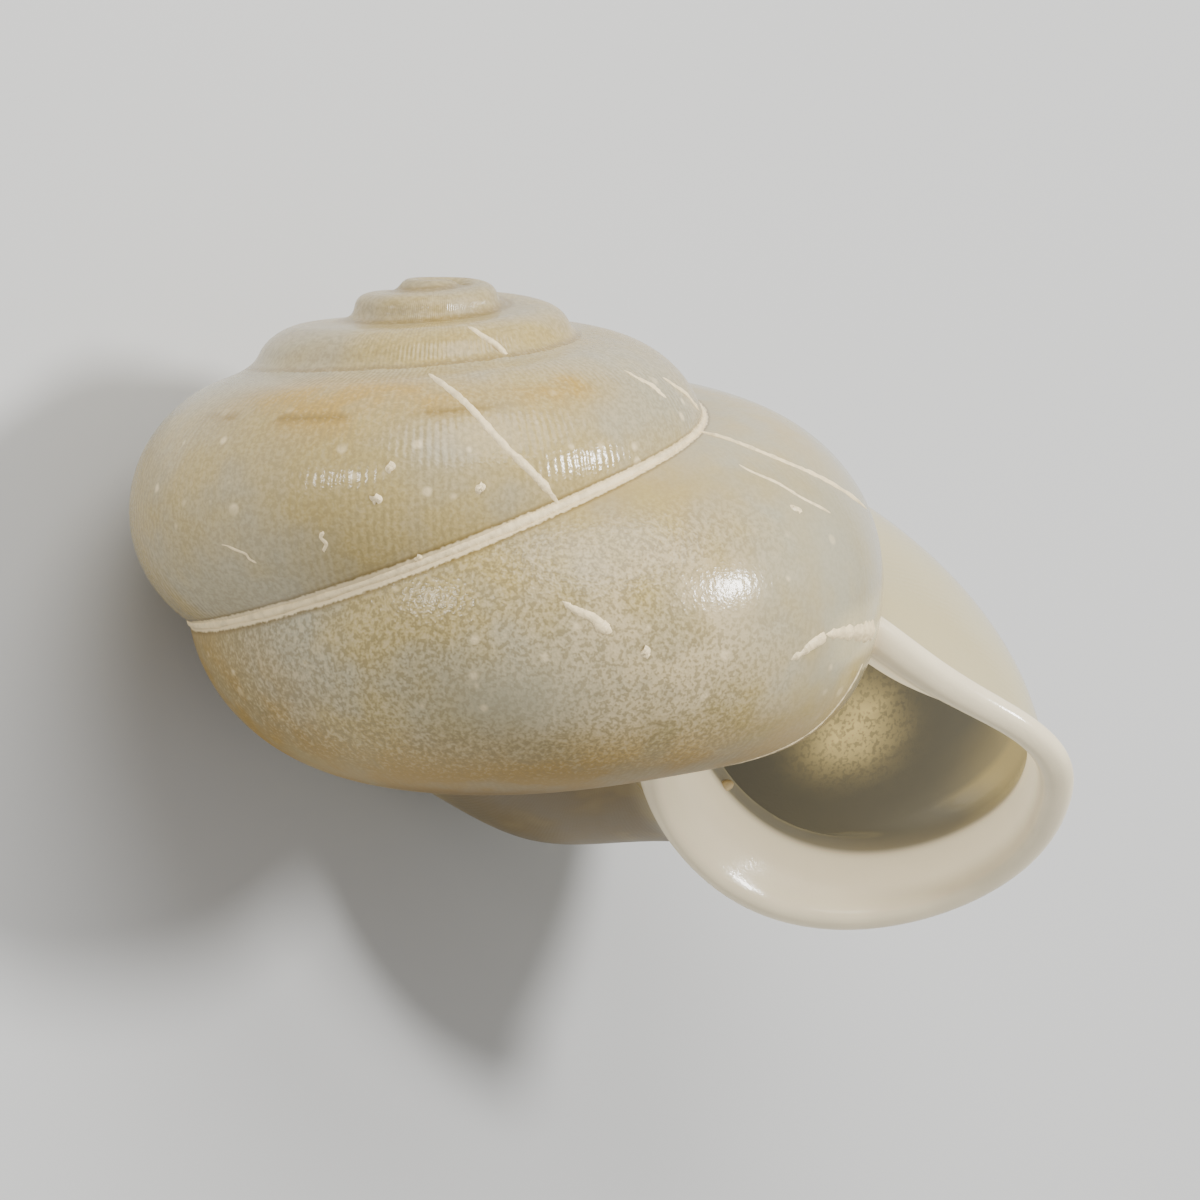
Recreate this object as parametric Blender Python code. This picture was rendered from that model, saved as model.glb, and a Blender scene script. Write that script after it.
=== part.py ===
"""Shell of a small land snail, lying on its back with the mouth up.

The shell is one grown piece: a tube that coils, widens and drops, with a low
regular spire, after which the last whorl slides sideways and tips over, so the
mouth opens beside the spire and not below it. Lengths are in millimetres, turns
are counted back from the mouth (0 is the mouth, -1 is one whorl earlier), and
the coil's own axis is Y, with the tip of the spire at the top.
"""
import math

import bmesh
import bpy
from mathutils import Matrix, Vector

MM = 0.001

# Coil: how the tube's middle line runs
WHORLS = 5.04
COIL_RADIUS = 2.34
COIL_RADIUS_TURN = -2.636
COIL_RADIUS_SPREAD = 0.967
DROP_PER_TURN = 1.425
DROP_START = -2.995
DROP_ONSET = 0.543

# Coil: how the last whorl slides and tips away from the spire
SLIDE_PER_TURN = 1.39
SINK_PER_TURN = -0.764
SLIDE_START = -1.4725
SLIDE_ONSET = 0.1326
NOD_DEG_PER_TURN = 40.6
NOD_START = -0.603
LEAN_DEG_PER_TURN = -29.7
LEAN_START = -0.885
TIP_ONSET = 0.124

# Section of the tube
YOUNG_HALF_WIDTH = 0.20
HALF_WIDTH_GAIN = 1.824
HALF_WIDTH_TURN = -2.04
HALF_WIDTH_SPREAD = 0.531
HEIGHT_RATIO = 0.935
FLATTENING = -0.093
FLATTENING_START = -0.8
FLATTENING_ONSET = 0.15
SECTION_TWIST_DEG = 5.1
SECTION_TWIST_TURN = -0.75
SECTION_TWIST_ONSET = 0.2
YOUNG_TWIST_DEG = -5.4
BELLY = 0.63
BELLY_TURN = -0.26
BELLY_SPREAD = 0.14

# Rounded bulb at the start of the tube
BULB_TURNS = 0.25
BULB_LEAST_AREA = 0.06

# Hollow: stretches from turn to turn, and the earlier whorls that stay whole inside it
HOLLOW_REACH = 0.9
HOLLOWS = ((-0.85, 0.035), (-1.75, -0.80), (-2.65, -1.70))
EARLIER_START = 1.3
EARLIER_END = 0.08

# Pillar that the whorls wind around
PILLAR_START = 0.3
PILLAR_END_TURN = -1.35
PILLAR_OVERLAP = 0.10
PILLAR_OVERLAP_RATIO = 0.12
PILLAR_STEPS_PER_TURN = 8
PILLAR_SIDES = 12
CROWN_HEIGHT_RATIO = 0.9
CROWN_WIDTH_RATIO = 0.7

# Mouth and lip
MOUTH_SLANT = 0.024
MOUTH_SKEW = -0.020
CORNER_REACH = 0.11
CORNER_DEG = 42.0
CORNER_SPREAD_DEG = 22.0
CORNER_ONSET = 0.06
LIP_REACH = 1.13
LIP_HALF_WIDTH = 0.29
LIP_WIDTH_SWING = 0.15
LIP_WIDEST_DEG = -80.0
LIP_OUTER_SHARE = 0.7
LIP_INWARD_SLOPE = 0.5
LIP_DEPTH_RATIO = 0.45
LIP_LEAST_HALF_DEPTH = 0.09

# Pose and the small flat spot that the shell lies on
VIEW_LEAN_DEG = 1.456
VIEW_NOD_DEG = 6.229
REST_ROLL_DEG = -43.9
REST_PITCH_DEG = 2.75
REST_YAW_DEG = 90.0
PLACE_X = -3.165
PLACE_Y = -1.848
PLACE_Z = 3.782
GROUND_SIZE = 20.0

# Finish
SHARP_DEG = 40.0
SHELL_COLOUR = (0.72, 0.68, 0.56, 1.0)
SHELL_ROUGHNESS = 0.22
SHELL_METALLIC = 0.0

# Fineness of the faceted solid
STEPS_PER_TURN = 22
SIDES = 20
HOLLOW_STEPS_PER_TURN = 14
HOLLOW_SIDES = 12
LIP_STEPS = 36
LIP_SIDES = 8
TURN_STEP = 0.01


def gradual(turn, middle, spread):
    """Growth from 0 to 1 about the middle turn."""
    return 1 / (1 + math.exp(-(turn - middle) / spread))


def onset(turn, start, width):
    """Turns grown since the start, with a soft beginning."""
    return width * math.log1p(math.exp((turn - start) / width))


def half_width(turn):
    return YOUNG_HALF_WIDTH + HALF_WIDTH_GAIN * gradual(turn, HALF_WIDTH_TURN, HALF_WIDTH_SPREAD)


def half_height(turn):
    flattening = FLATTENING * onset(turn, FLATTENING_START, FLATTENING_ONSET)
    return half_width(turn) * (HEIGHT_RATIO + flattening)


def coil_radius(turn):
    return COIL_RADIUS * gradual(turn, COIL_RADIUS_TURN, COIL_RADIUS_SPREAD)


def coil_centre(turn):
    """Middle of the coil ring that the turn lies on."""
    slid = onset(turn, SLIDE_START, SLIDE_ONSET)
    drop = DROP_PER_TURN * onset(turn, DROP_START, DROP_ONSET)
    return Vector((SLIDE_PER_TURN * slid, -drop, SINK_PER_TURN * slid))


def coil_tip(turn):
    """Rotation of the coil ring that the turn lies on."""
    nod = math.radians(NOD_DEG_PER_TURN * onset(turn, NOD_START, TIP_ONSET))
    lean = math.radians(LEAN_DEG_PER_TURN * onset(turn, LEAN_START, TIP_ONSET))
    return Matrix.Rotation(lean, 3, 'Z') @ Matrix.Rotation(nod, 3, 'X')


def section_twist(turn):
    twist = SECTION_TWIST_DEG * gradual(turn, SECTION_TWIST_TURN, SECTION_TWIST_ONSET)
    return math.radians(YOUNG_TWIST_DEG + twist)


def basal_belly(turn):
    """Extra depth of the tube's lower side just behind the lip."""
    return BELLY * math.exp(-((turn - BELLY_TURN) / BELLY_SPREAD) ** 2)


def mouth_corner(turn, angle):
    """Near the mouth the section draws out into a rounded corner at its upper right."""
    off = (math.degrees(angle) - CORNER_DEG) / CORNER_SPREAD_DEG
    return CORNER_REACH * math.exp(-off ** 2 + turn / CORNER_ONSET)


def section_point(turn, outward, upward):
    """Place of a point of the tube's section, measured from its middle."""
    twist = section_twist(turn)
    radial = coil_radius(turn) + outward * math.cos(twist) - upward * math.sin(twist)
    height = outward * math.sin(twist) + upward * math.cos(twist)
    around = 2 * math.pi * turn
    ring_point = Vector((radial * math.cos(around), height, radial * math.sin(around)))
    return coil_tip(turn) @ ring_point + coil_centre(turn)


def tube_point(turn, angle, reach):
    """Point of the tube; reach 1 is its outside and 0 its middle line."""
    reach *= 1 + mouth_corner(turn, angle)
    outward = reach * half_width(turn) * math.cos(angle)
    upward = reach * half_height(turn) * math.sin(angle)
    if upward < 0:
        upward *= 1 + basal_belly(turn)
    return section_point(turn, outward, upward)


def mouth_turn(angle):
    """The mouth's edge leans a little off the section's plane."""
    return MOUTH_SLANT * math.sin(angle) + MOUTH_SKEW * math.cos(angle)


def collection(name):
    made = bpy.data.collections.new(name)
    bpy.context.scene.collection.children.link(made)
    return made


def add_object(name, mesh, home):
    made = bpy.data.objects.new(name, mesh)
    home.objects.link(made)
    return made


def loft(name, rings, home, closed=False):
    """Solid through rings of points, with its ends filled or joined to each other."""
    bm = bmesh.new()
    loops = [[bm.verts.new(point * MM) for point in ring] for ring in rings]
    pairs = list(zip(loops[:-1], loops[1:]))
    if closed:
        pairs.append((loops[-1], loops[0]))
    for first, second in pairs:
        for i in range(len(first)):
            j = (i + 1) % len(first)
            bm.faces.new((first[i], first[j], second[j], second[i]))
    if not closed:
        bm.faces.new(loops[0])
        bm.faces.new(loops[-1])
    bmesh.ops.recalc_face_normals(bm, faces=bm.faces[:])
    bmesh.ops.triangulate(bm, faces=bm.faces[:])
    mesh = bpy.data.meshes.new(name)
    bm.to_mesh(mesh)
    bm.free()
    return add_object(name, mesh, home)


def turns_between(first, last, steps_per_turn):
    steps = max(2, round((last - first) * steps_per_turn))
    return [first + (last - first) * i / steps for i in range(steps + 1)]


def bulb_reach(turn):
    """The tube starts as a small rounded bulb."""
    grown = min(1.0, (turn + WHORLS) / BULB_TURNS)
    return math.sqrt(max(BULB_LEAST_AREA, 1 - (1 - grown) ** 2))


def tube(name, first, last, reach, steps_per_turn, sides, home):
    """Stretch of the coiled tube as a closed solid, slanted like the mouth at its end."""
    rings = []
    for turn in turns_between(first, last, steps_per_turn):
        lag = (turn - first) / (last - first)
        ring = []
        for side in range(sides):
            angle = 2 * math.pi * side / sides
            ring.append(tube_point(turn + lag * mouth_turn(angle), angle, reach * bulb_reach(turn)))
        rings.append(ring)
    return loft(name, rings, home)


def evaluated_mesh(source):
    graph = bpy.context.evaluated_depsgraph_get()
    return bpy.data.meshes.new_from_object(source.evaluated_get(graph))


def boolean(target, operation, tool, self_meeting=False):
    """Join or cut with another solid and keep the result in the mesh."""
    step = target.modifiers.new(operation.lower(), 'BOOLEAN')
    step.operation = operation
    step.solver = 'EXACT'
    step.use_self = self_meeting
    step.object = tool
    result = evaluated_mesh(target)
    target.modifiers.remove(step)
    target.data = result


def keep_outer_skin(target):
    """Where whorls fuse along the pillar, pockets that nothing reaches are shell too."""
    bm = bmesh.new()
    bm.from_mesh(target.data)
    bm.verts.ensure_lookup_table()
    seen = set()
    islands = []
    for start in bm.verts:
        if start in seen:
            continue
        island = [start]
        seen.add(start)
        for vert in island:
            for edge in vert.link_edges:
                other = edge.other_vert(vert)
                if other not in seen:
                    seen.add(other)
                    island.append(other)
        islands.append(island)
    islands.sort(key=len)
    spare = [vert for island in islands[:-1] for vert in island]
    bmesh.ops.delete(bm, geom=spare, context='VERTS')
    bm.to_mesh(target.data)
    bm.free()


def make_pillar(home):
    """Pillar that the whorls wind around and that closes the tip."""
    rings = []
    for turn in turns_between(-WHORLS - PILLAR_START, PILLAR_END_TURN, PILLAR_STEPS_PER_TURN):
        middle = coil_centre(turn)
        gap = max(0.0, coil_radius(turn) - half_width(turn))
        overlap = PILLAR_OVERLAP + PILLAR_OVERLAP_RATIO * half_width(turn)
        radius = min(gap + overlap, coil_radius(turn))
        ring = []
        for side in range(PILLAR_SIDES):
            angle = 2 * math.pi * side / PILLAR_SIDES
            ring.append(middle + Vector((radius * math.cos(angle), 0, radius * math.sin(angle))))
        rings.append(ring)
    tip = coil_centre(-WHORLS)
    crown = tip + Vector((0, half_height(-WHORLS) * CROWN_HEIGHT_RATIO, 0))
    rings.insert(0, [crown + (point - tip) * CROWN_WIDTH_RATIO for point in rings[0]])
    return loft('pillar', rings, home)


def make_lip(home):
    """Thick rolled lip round the mouth's edge, which slopes into the mouth on its inner side."""
    rings = []
    for k in range(LIP_STEPS):
        angle = 2 * math.pi * k / LIP_STEPS - math.pi
        swing = math.cos(angle - math.radians(LIP_WIDEST_DEG))
        width = LIP_HALF_WIDTH + LIP_WIDTH_SWING * swing
        depth = LIP_LEAST_HALF_DEPTH + LIP_DEPTH_RATIO * width
        turn = mouth_turn(angle)
        wall = tube_point(turn, angle, 1.0)
        middle = tube_point(turn, angle, 0.0)
        out = (wall - middle).normalized()
        after = tube_point(turn + TURN_STEP, angle, 1.0)
        before = tube_point(turn - TURN_STEP, angle, 1.0)
        ahead = (after - before).normalized()
        outer_width = LIP_OUTER_SHARE * width
        inner_width = 2 * width - outer_width
        crest = middle + (wall - middle) * LIP_REACH - out * outer_width
        ring = []
        for side in range(LIP_SIDES):
            around = 2 * math.pi * side / LIP_SIDES
            across = math.cos(around) * (outer_width if math.cos(around) > 0 else inner_width)
            forward = depth * math.sin(around) + LIP_INWARD_SLOPE * min(across, 0.0)
            ring.append(crest + out * across + ahead * forward)
        rings.append(ring)
    return loft('lip', rings, home, closed=True)


def make_ground(home):
    """Block whose top is the floor, which grinds the small flat spot."""
    bm = bmesh.new()
    bmesh.ops.create_cube(bm, size=GROUND_SIZE * MM)
    mesh = bpy.data.meshes.new('ground')
    bm.to_mesh(mesh)
    bm.free()
    ground = add_object('ground', mesh, home)
    ground.location.z = -GROUND_SIZE * MM / 2
    bpy.context.view_layer.update()
    return ground


def resting_turn():
    """From the coil's own axes to the shell lying on the floor."""
    nod = Matrix.Rotation(math.radians(VIEW_NOD_DEG), 3, 'X')
    lean = Matrix.Rotation(math.radians(VIEW_LEAN_DEG), 3, 'Z')
    roll = Matrix.Rotation(math.radians(REST_ROLL_DEG), 3, 'Y')
    pitch = Matrix.Rotation(math.radians(REST_PITCH_DEG), 3, 'X')
    yaw = Matrix.Rotation(math.radians(REST_YAW_DEG), 3, 'Z')
    return yaw @ pitch @ roll @ lean @ nod


def shell_material():
    made = bpy.data.materials.new('shell')
    made.use_nodes = True
    surface = made.node_tree.nodes['Principled BSDF']
    surface.inputs['Base Color'].default_value = SHELL_COLOUR
    surface.inputs['Roughness'].default_value = SHELL_ROUGHNESS
    surface.inputs['Metallic'].default_value = SHELL_METALLIC
    return made


def main():
    for old in list(bpy.data.objects):
        bpy.data.objects.remove(old, do_unlink=True)
    shell_home = collection('land_snail_shell')
    tools = collection('cutters')

    shell = tube('shell', -WHORLS, 0.0, 1.0, STEPS_PER_TURN, SIDES, shell_home)
    boolean(shell, 'UNION', make_pillar(tools), self_meeting=True)
    keep_outer_skin(shell)
    lip = make_lip(tools)
    for number, (first, last) in enumerate(HOLLOWS):
        hollow = tube('hollow_%d' % number, first, last, HOLLOW_REACH,
                      HOLLOW_STEPS_PER_TURN, HOLLOW_SIDES, tools)
        earlier = tube('earlier_%d' % number, first - EARLIER_START, first - EARLIER_END, 1.0,
                       STEPS_PER_TURN, SIDES, tools)
        boolean(hollow, 'DIFFERENCE', earlier, self_meeting=True)
        boolean(shell, 'DIFFERENCE', hollow)
        if number:
            boolean(lip, 'DIFFERENCE', hollow)
    boolean(shell, 'UNION', lip)
    keep_outer_skin(shell)

    place = Vector((PLACE_X, PLACE_Y, PLACE_Z)) * MM
    shell.matrix_world = Matrix.Translation(place) @ resting_turn().to_4x4()
    bpy.context.view_layer.update()
    boolean(shell, 'DIFFERENCE', make_ground(tools))

    shell.data.materials.clear()
    shell.data.materials.append(shell_material())
    shell.data.shade_smooth()
    shell.data.set_sharp_from_angle(angle=math.radians(SHARP_DEG))

    for cutter in tools.objects:
        cutter.hide_render = True
        cutter.display_type = 'WIRE'


main()
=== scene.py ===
"""Looks of a small land snail shell that lies on its back with the mouth up.

The shell is grown here by the same growth laws as the solid it stands for, only much finer:
stretches of the coiled tube, the last one with its rolled lip and its hollow, fused into one
skin. Lengths are in millimetres, turns are counted back from the mouth (0 is the mouth and -1
is one whorl earlier), and a section's angle is 0 at its outer side, 90 towards the spire and
-90 towards the base.
"""
import math

import bpy
import numpy as np
from mathutils import Matrix, Vector
from mathutils.kdtree import KDTree


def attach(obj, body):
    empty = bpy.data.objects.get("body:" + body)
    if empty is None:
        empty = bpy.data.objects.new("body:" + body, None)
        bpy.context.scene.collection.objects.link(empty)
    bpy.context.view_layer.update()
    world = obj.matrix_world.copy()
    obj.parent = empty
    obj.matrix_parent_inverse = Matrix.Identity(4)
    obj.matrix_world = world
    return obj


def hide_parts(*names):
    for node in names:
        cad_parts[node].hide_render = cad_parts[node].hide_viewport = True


bl_info = {
    "name": "Land snail shell",
    "version": (1, 0, 0),
    "blender": (4, 5, 0),
    "location": "3D View > Sidebar > Shell",
    "description": "Grows a small translucent land snail shell with a rolled lip, and its studio",
    "category": "Object",
}

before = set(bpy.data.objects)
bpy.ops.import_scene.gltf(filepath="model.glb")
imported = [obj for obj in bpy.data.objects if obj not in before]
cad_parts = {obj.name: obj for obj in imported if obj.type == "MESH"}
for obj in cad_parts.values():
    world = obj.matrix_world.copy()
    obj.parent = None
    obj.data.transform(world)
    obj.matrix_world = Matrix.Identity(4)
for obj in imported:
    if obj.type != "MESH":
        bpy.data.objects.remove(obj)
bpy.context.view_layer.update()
MM = 0.001

# Coil: how the tube's middle line runs
WHORLS = 5.04
COIL_RADIUS = 2.34
COIL_RADIUS_TURN = -2.636
COIL_RADIUS_SPREAD = 0.967
LEAST_COIL_RADIUS = 0.01
DROP_PER_TURN = 1.425
DROP_START = -2.995
DROP_ONSET = 0.543

# Coil: how the last whorl slides and tips away from the spire
SLIDE_PER_TURN = 1.39
SINK_PER_TURN = -0.764
SLIDE_START = -1.4725
SLIDE_ONSET = 0.1326
NOD_DEG_PER_TURN = 40.6
NOD_START = -0.603
LEAN_DEG_PER_TURN = -29.7
LEAN_START = -0.885
TIP_ONSET = 0.124

# Section of the tube
YOUNG_HALF_WIDTH = 0.20
HALF_WIDTH_GAIN = 1.824
HALF_WIDTH_TURN = -2.04
HALF_WIDTH_SPREAD = 0.531
HEIGHT_RATIO = 0.935
FLATTENING = -0.093
FLATTENING_START = -0.8
FLATTENING_ONSET = 0.15
SECTION_TWIST_DEG = 5.1
SECTION_TWIST_TURN = -0.75
SECTION_TWIST_ONSET = 0.2
YOUNG_TWIST_DEG = -5.4
BELLY = 0.63
BELLY_TURN = -0.26
BELLY_SPREAD = 0.14
CORNER_REACH = 0.11
CORNER_DEG = 42.0
CORNER_SPREAD_DEG = 22.0
CORNER_ONSET = 0.06
BULB_TURNS = 0.25
BULB_LEAST_AREA = 0.06

# Mouth
INSERTION_REACH = 0.10
INSERTION_DEG = 118.0
INSERTION_SPREAD_DEG = 24.0
INSERTION_ONSET = 0.05
MOUTH_SLANT = 0.024
MOUTH_SKEW = -0.020
MOUTH_WHORL_START = -0.85
CALM_STRETCH = 0.42
HOLLOW_STRETCH = 1.1
HOLLOW_STOP_TURNS = 0.04
LEAST_SPEED = 3.0
SMALL_TURN = 0.01

# Lip: its lower and upper stretches (degrees, spread) and the swells of its rim (degrees, spread, share)
LOWER_LIP = (-125, 45)
UPPER_LIP = (100, 45)
UPPER_FUNNEL = 1.6
RIM_SWELLS = ((30, 30, 0.15), (110, 25, 0.35), (-125, 30, -0.35))

# Lip's section. Round the rim: share of its reach, millimetres ahead and share of its height;
# down the funnel: share of the way in and of the depth; and the last point, on the way to the wall
RIM_SECTION = ((0.04, -0.20, 0.0), (0.45, -0.12, 0.0), (0.92, -0.07, 0.0), (1.0, 0.03, 0.0),
               (0.72, 0.0, 0.85), (0.05, 0.0, 1.0))
FUNNEL_SECTION = ((0.42, 0.16), (0.85, 0.62), (1.0, 1.0), (0.97, 1.25))
FUNNEL_END = (0.6, 1.7)
LIP_STEPS = 4

# Pillar that the whorls wind around
PILLAR_START = 0.3
PILLAR_END_TURN = -1.35
PILLAR_OVERLAP = 0.10
PILLAR_OVERLAP_RATIO = 0.12
CROWN_HEIGHT_RATIO = 0.9
CROWN_WIDTH_RATIO = 0.7

# How the shell lies, and where the photograph sees it from
VIEW_LEAN_DEG = 1.456
VIEW_NOD_DEG = 6.229
REST_ROLL_DEG = -43.9
REST_PITCH_DEG = 2.75
REST_YAW_DEG = 90.0
PLACE = (-3.165, -1.848, 3.782)
PHOTO_SIZE = 1200
PHOTO_MM = 0.0102
COIL_TOP_IN_PHOTO = (438.9, 292.95)
CAMERA_AWAY = 50.0

# Fineness, and how closely the stretches of the tube join
WHORL_CUTS = (-5.04, -4.6, -4.2, -3.8, -3.4, -3.0, -2.6, -2.2, -1.8, -1.4, -1.1, -0.85)
STEPS_PER_TURN = 140
SIDES = 160
MOUTH_STEPS = 120
PILLAR_STEPS = 32
GROUND_SIZE = 30.0
PLUG_TURNS = 0.02
SNAP = 0.0005
SHARP_DEG = 38.0

# Callus that glazes the body whorl inside the mouth
CALLUS_REACH = 0.11
CALLUS_TURN = -0.93
CALLUS_TURN_SPREAD = 0.07
CALLUS_DEG = -42.0
CALLUS_SPREAD_DEG = 32.0

# Sutures: which faces count, where they lie on the younger whorl (half turns), and how evenly they run
SUTURE_LEAP = 0.4
LEAST_FACE = 0.00002
PILLAR_ZONE = -1.0
OUTER_ZONE = 0.5
UPPER_SUTURE_END = 0.8
LOWER_SUTURE_START = 1.0
SUTURE_DEPTH = 0.05
SUTURE_EVENING = 2

# Softening of the young sutures: first and last turn, reach in millimetres and rounds
SOFTENED = ((-4.9, -3.3, 0.20, 350), (-3.3, -2.3, 0.26, 300), (-2.3, -1.3, 0.20, 60))
LEAST_SOFTENING = 0.002

# Lights: way to them as the photograph sees it, distance, size and power
LIGHTS = (
    ("key", (0.86, 0.29, 0.42), 60.0, 11.0, 0.042),
    ("left light", (-0.60, 0.36, 0.71), 60.0, 7.0, 0.007),
    ("sky light", (0.25, 0.80, 0.62), 70.0, 60.0, 0.046),
)
ROOM_LIGHT = 0.54
FLOOR_HALF_WIDTH = 400.0
CAMERA_REACH = (1.0, 1000.0)

# Thread in the sutures, and the cream band that it lies in
THREAD_START = -1.3
THREAD_END = -0.2
THREAD_STEP = 0.012
BROAD_THREAD_TURN = -0.68
BROAD_THREAD_SPREAD = 0.22
THIN_THREAD = 0.42
THREAD_SIDES = 12
THREAD_TAPER = 0.05
THREAD_UNEVENNESS = 1.1
THREAD_GRAIN = 0.09
LEAST_TAPER = 0.02
BAND_REACH = 0.095
BAND_RANGE = 3
BAND_ENDS = 0.05
BAND_LOWER_SIDE = (20, 20)

# Soil crumbs and the nodule
SOIL_TURNS = (-0.44, -0.32)
SOIL_CRUMBS = 16
SOIL_SEED = 7
LEAST_CRUMB = 0.5
CRUMB_WIDTH = 0.7
CRUMB_HEIGHT = 0.55
CRUMB_LUMPS = 1.2
CRUMB_UNEVENNESS = 0.5
NODULE_PLACE = (-0.007, -127.0, 0.85)
PLACE_WEIGHTS = (10, 1 / 30, 3)

# Healed growth lines and scratches
SCAR_STEPS = 60
SCAR_SIDES = 10
SCAR_TAPER = 0.12
SCAR_UNEVENNESS = 0.8
SCAR_GRAIN = 0.08
SCAR_SWAY = 0.0015
SCAR_WAVES = 9
SCAR_SINK = 0.75

# Each one's first turn and degrees, last turn and degrees, how the turn bends along it, and the
# first and last share of the scar radius
SCARS = (
    ("long scar", -1.738, 84, -1.816, -3, 1.0, 1.0, 1.15),
    ("upper scar", -2.786, 74, -2.823, 24, 1.0, 0.7, 0.7),
    ("right scar", -1.903, 62, -1.923, 39, 1.0, 0.7, 0.8),
    ("edge scar", -1.940, 50, -1.972, 24, 1.0, 0.8, 0.8),
    ("shoulder scar", -0.898, 92, -0.978, 28, 2.0, 0.8, 1.0),
    ("faint scar", -0.880, 64, -0.922, 35, 1.3, 0.5, 0.6),
    ("scratch", -0.756, 19, -0.781, 7, 1.0, 0.9, 1.7),
    ("suture end", -0.872, -10, -0.898, -4, 1.0, 0.9, 1.6),
    ("callus edge", -0.878, -62, -0.940, -20, 0.63, 0.5, 0.7),
    ("callus end", -0.896, -4, -0.952, -11, 1.0, 1.3, 3.2),
    ("upright fleck", -1.682, -1, -1.682, -12, 1.0, 0.6, 0.5),
    ("curved fleck", -1.618, -6, -1.639, -15, 0.6, 0.4, 0.4),
    ("fleck 1", -1.711, 13, -1.713, 9, 1.0, 1.0, 1.0),
    ("fleck 2", -1.718, 27, -1.721, 23, 1.0, 1.1, 1.0),
    ("fleck 3", -1.768, 14, -1.770, 10, 1.0, 1.1, 1.1),
    ("fleck 4", -1.732, -17, -1.734, -21, 1.0, 0.9, 0.9),
    ("body fleck", -0.793, 2, -0.797, -2, 1.0, 1.1, 1.1),
    ("shoulder fleck", -0.893, 43, -0.898, 38, 1.0, 0.9, 0.9),
)

# Parts of the shell's outside. A reach is (low, high, how softly it ends) or (middle, spread)
OPEN = 999
PARTS = {
    "spire": (-OPEN, -2.1, 0.2),
    "penultimate": (-2.05, -1.45, 0.1),
    "body": (-1.06, -0.45, 0.1),
}

# Zones of the lip, and how far soil with painted shade and brown seams reach from the sutures (mm and
# softness)
OUTSIDE_ZONE = 0.1
SLOPE_ZONE = (0.55, 0.8, 0.1)
INSIDE_ZONE = 0.84
INSIDE_SOFTNESS = 0.24
CRISP_ZONE = 0.06
CRISP_SOFTNESS = 0.18
CREASE_REACH = (0.12, 0.25)
SEAM_REACH = (0.07, 0.06)

# Clean stretch of the body whorl and its clean spots: turns, degrees and how clean
CLEAN_TURNS = (-0.56, 0.1)
CLEAN_SPOTS = (((-0.735, 0.04), (-16, 16), 0.8), ((-0.845, 0.035), (18, 15), 0.85))

# Regions of the finish: name, part of the shell, turns, degrees and strength; () is anywhere
REGIONS = (
    ("ochre", "penultimate", (-1.68, 0.08), (62, 18), 1.3),
    ("ochre", "penultimate", (-1.835, 0.035), (60, 15), 0.9),
    ("ochre", "penultimate", (), (), 0.15),
    ("ochre", "body", (), (-OPEN, -38, 30), 1.0),
    ("ochre", "body", (-0.62, OPEN, 0.08), (-OPEN, -5, 30), 0.8),
    ("ochre", "body", (-0.80, 0.06), (), 0.4),
    ("ochre", "spire", (), (), 0.25),
    ("ochre_edge", "penultimate", (-1.78, -1.58, 0.03), (52, 2.2), 1.0),
    # Painted shade: these two rows darken the lower side of the body whorl with the dirt colour
    ("shade", "body", (), (-OPEN, -38, 30), 1.0),
    ("shade", "body", (-0.62, OPEN, 0.08), (-OPEN, -5, 30), 0.8),
    ("milky", "outside", (-0.22, OPEN, 0.16), (20, OPEN, 30), 0.85),
    ("milky", "body", (-OPEN, -0.905, 0.02), (-16, 1, 5), 1.0),
    ("seam", "seam", (-OPEN, -2.2, 0.1), (), 1.0),
    ("grit", "gritty body", (-0.86, OPEN, 0.06), (-45, 46, 24), 1.0),
    ("grit", "penultimate", (), (), 0.45),
    ("grit", "body", (), (), 0.15),
    ("grit", "spire", (), (), 0.45),
    ("blotches", "body", (-0.81, 0.055), (-38, 28, 20), 1.0),
    ("cool", "body", (-OPEN, -0.88, 0.06), (10, 50, 30), 1.0),
    ("cool", "body", (-0.735, 0.045), (-14, 17), 1.0),
    ("cool", "penultimate", (), (), 0.10),
    ("specks", "penultimate", (), (0, 52, 20), 1.0),
    ("specks", "body", (), (-30, 30, 20), 0.8),
    ("specks", "spire", (), (), 0.3),
    ("patch", "inside", (-0.136, 0.016), (-29, 13), 1.0),
    # The right inner wall near the mouth: light brown, with painted light from its glow
    ("lit_brown_wall", "inside", (-0.062, OPEN, 0.05), (-20, OPEN, 24), 1.0),
    # Soil: real soil in the crease and a smear below, mixed with painted shade in the crease and, in the
    # last row, on the shadowed underside near the lip
    ("soil", "crease", (-1.1, -0.05, 0.05), (), 0.7),
    ("soil", "outside", (-0.70, 0.10), (-74, 9), 0.6),
    ("soil", "outside", (-0.50, -0.11, 0.06), (-OPEN, -90, 20), 0.75),
    ("ribs", "outside", (), (), 0.05),
    ("ribs", "penultimate", (), (), 0.12),
    ("ribs", "spire", (), (), 0.10),
)

# Textures: fineness for each metre, detail and roughness
CLOUDS = (450.0, 2.0, 0.5)
MOTTLE = (1500.0, 2.0, 0.6)
STAINS = (9000.0, 2.0, 0.5)
SOIL_GRAIN = (12000.0, 3.0, 0.5)
CREAM_GRAIN = (16000.0, 2.0, 0.5)
GRIT = (20000.0, 1.0, 0.7)

# Cream specks: cells for each metre, least size and spread of sizes, softness, and how many are left out
SPECK_CELLS = 4200.0
SPECK_SIZE = 0.06
SPECK_SPREAD = 0.20
SPECK_SOFTNESS = 0.14
SPECKS_LEFT_OUT = 0.45
SPECK_STRENGTH = 0.55

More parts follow.
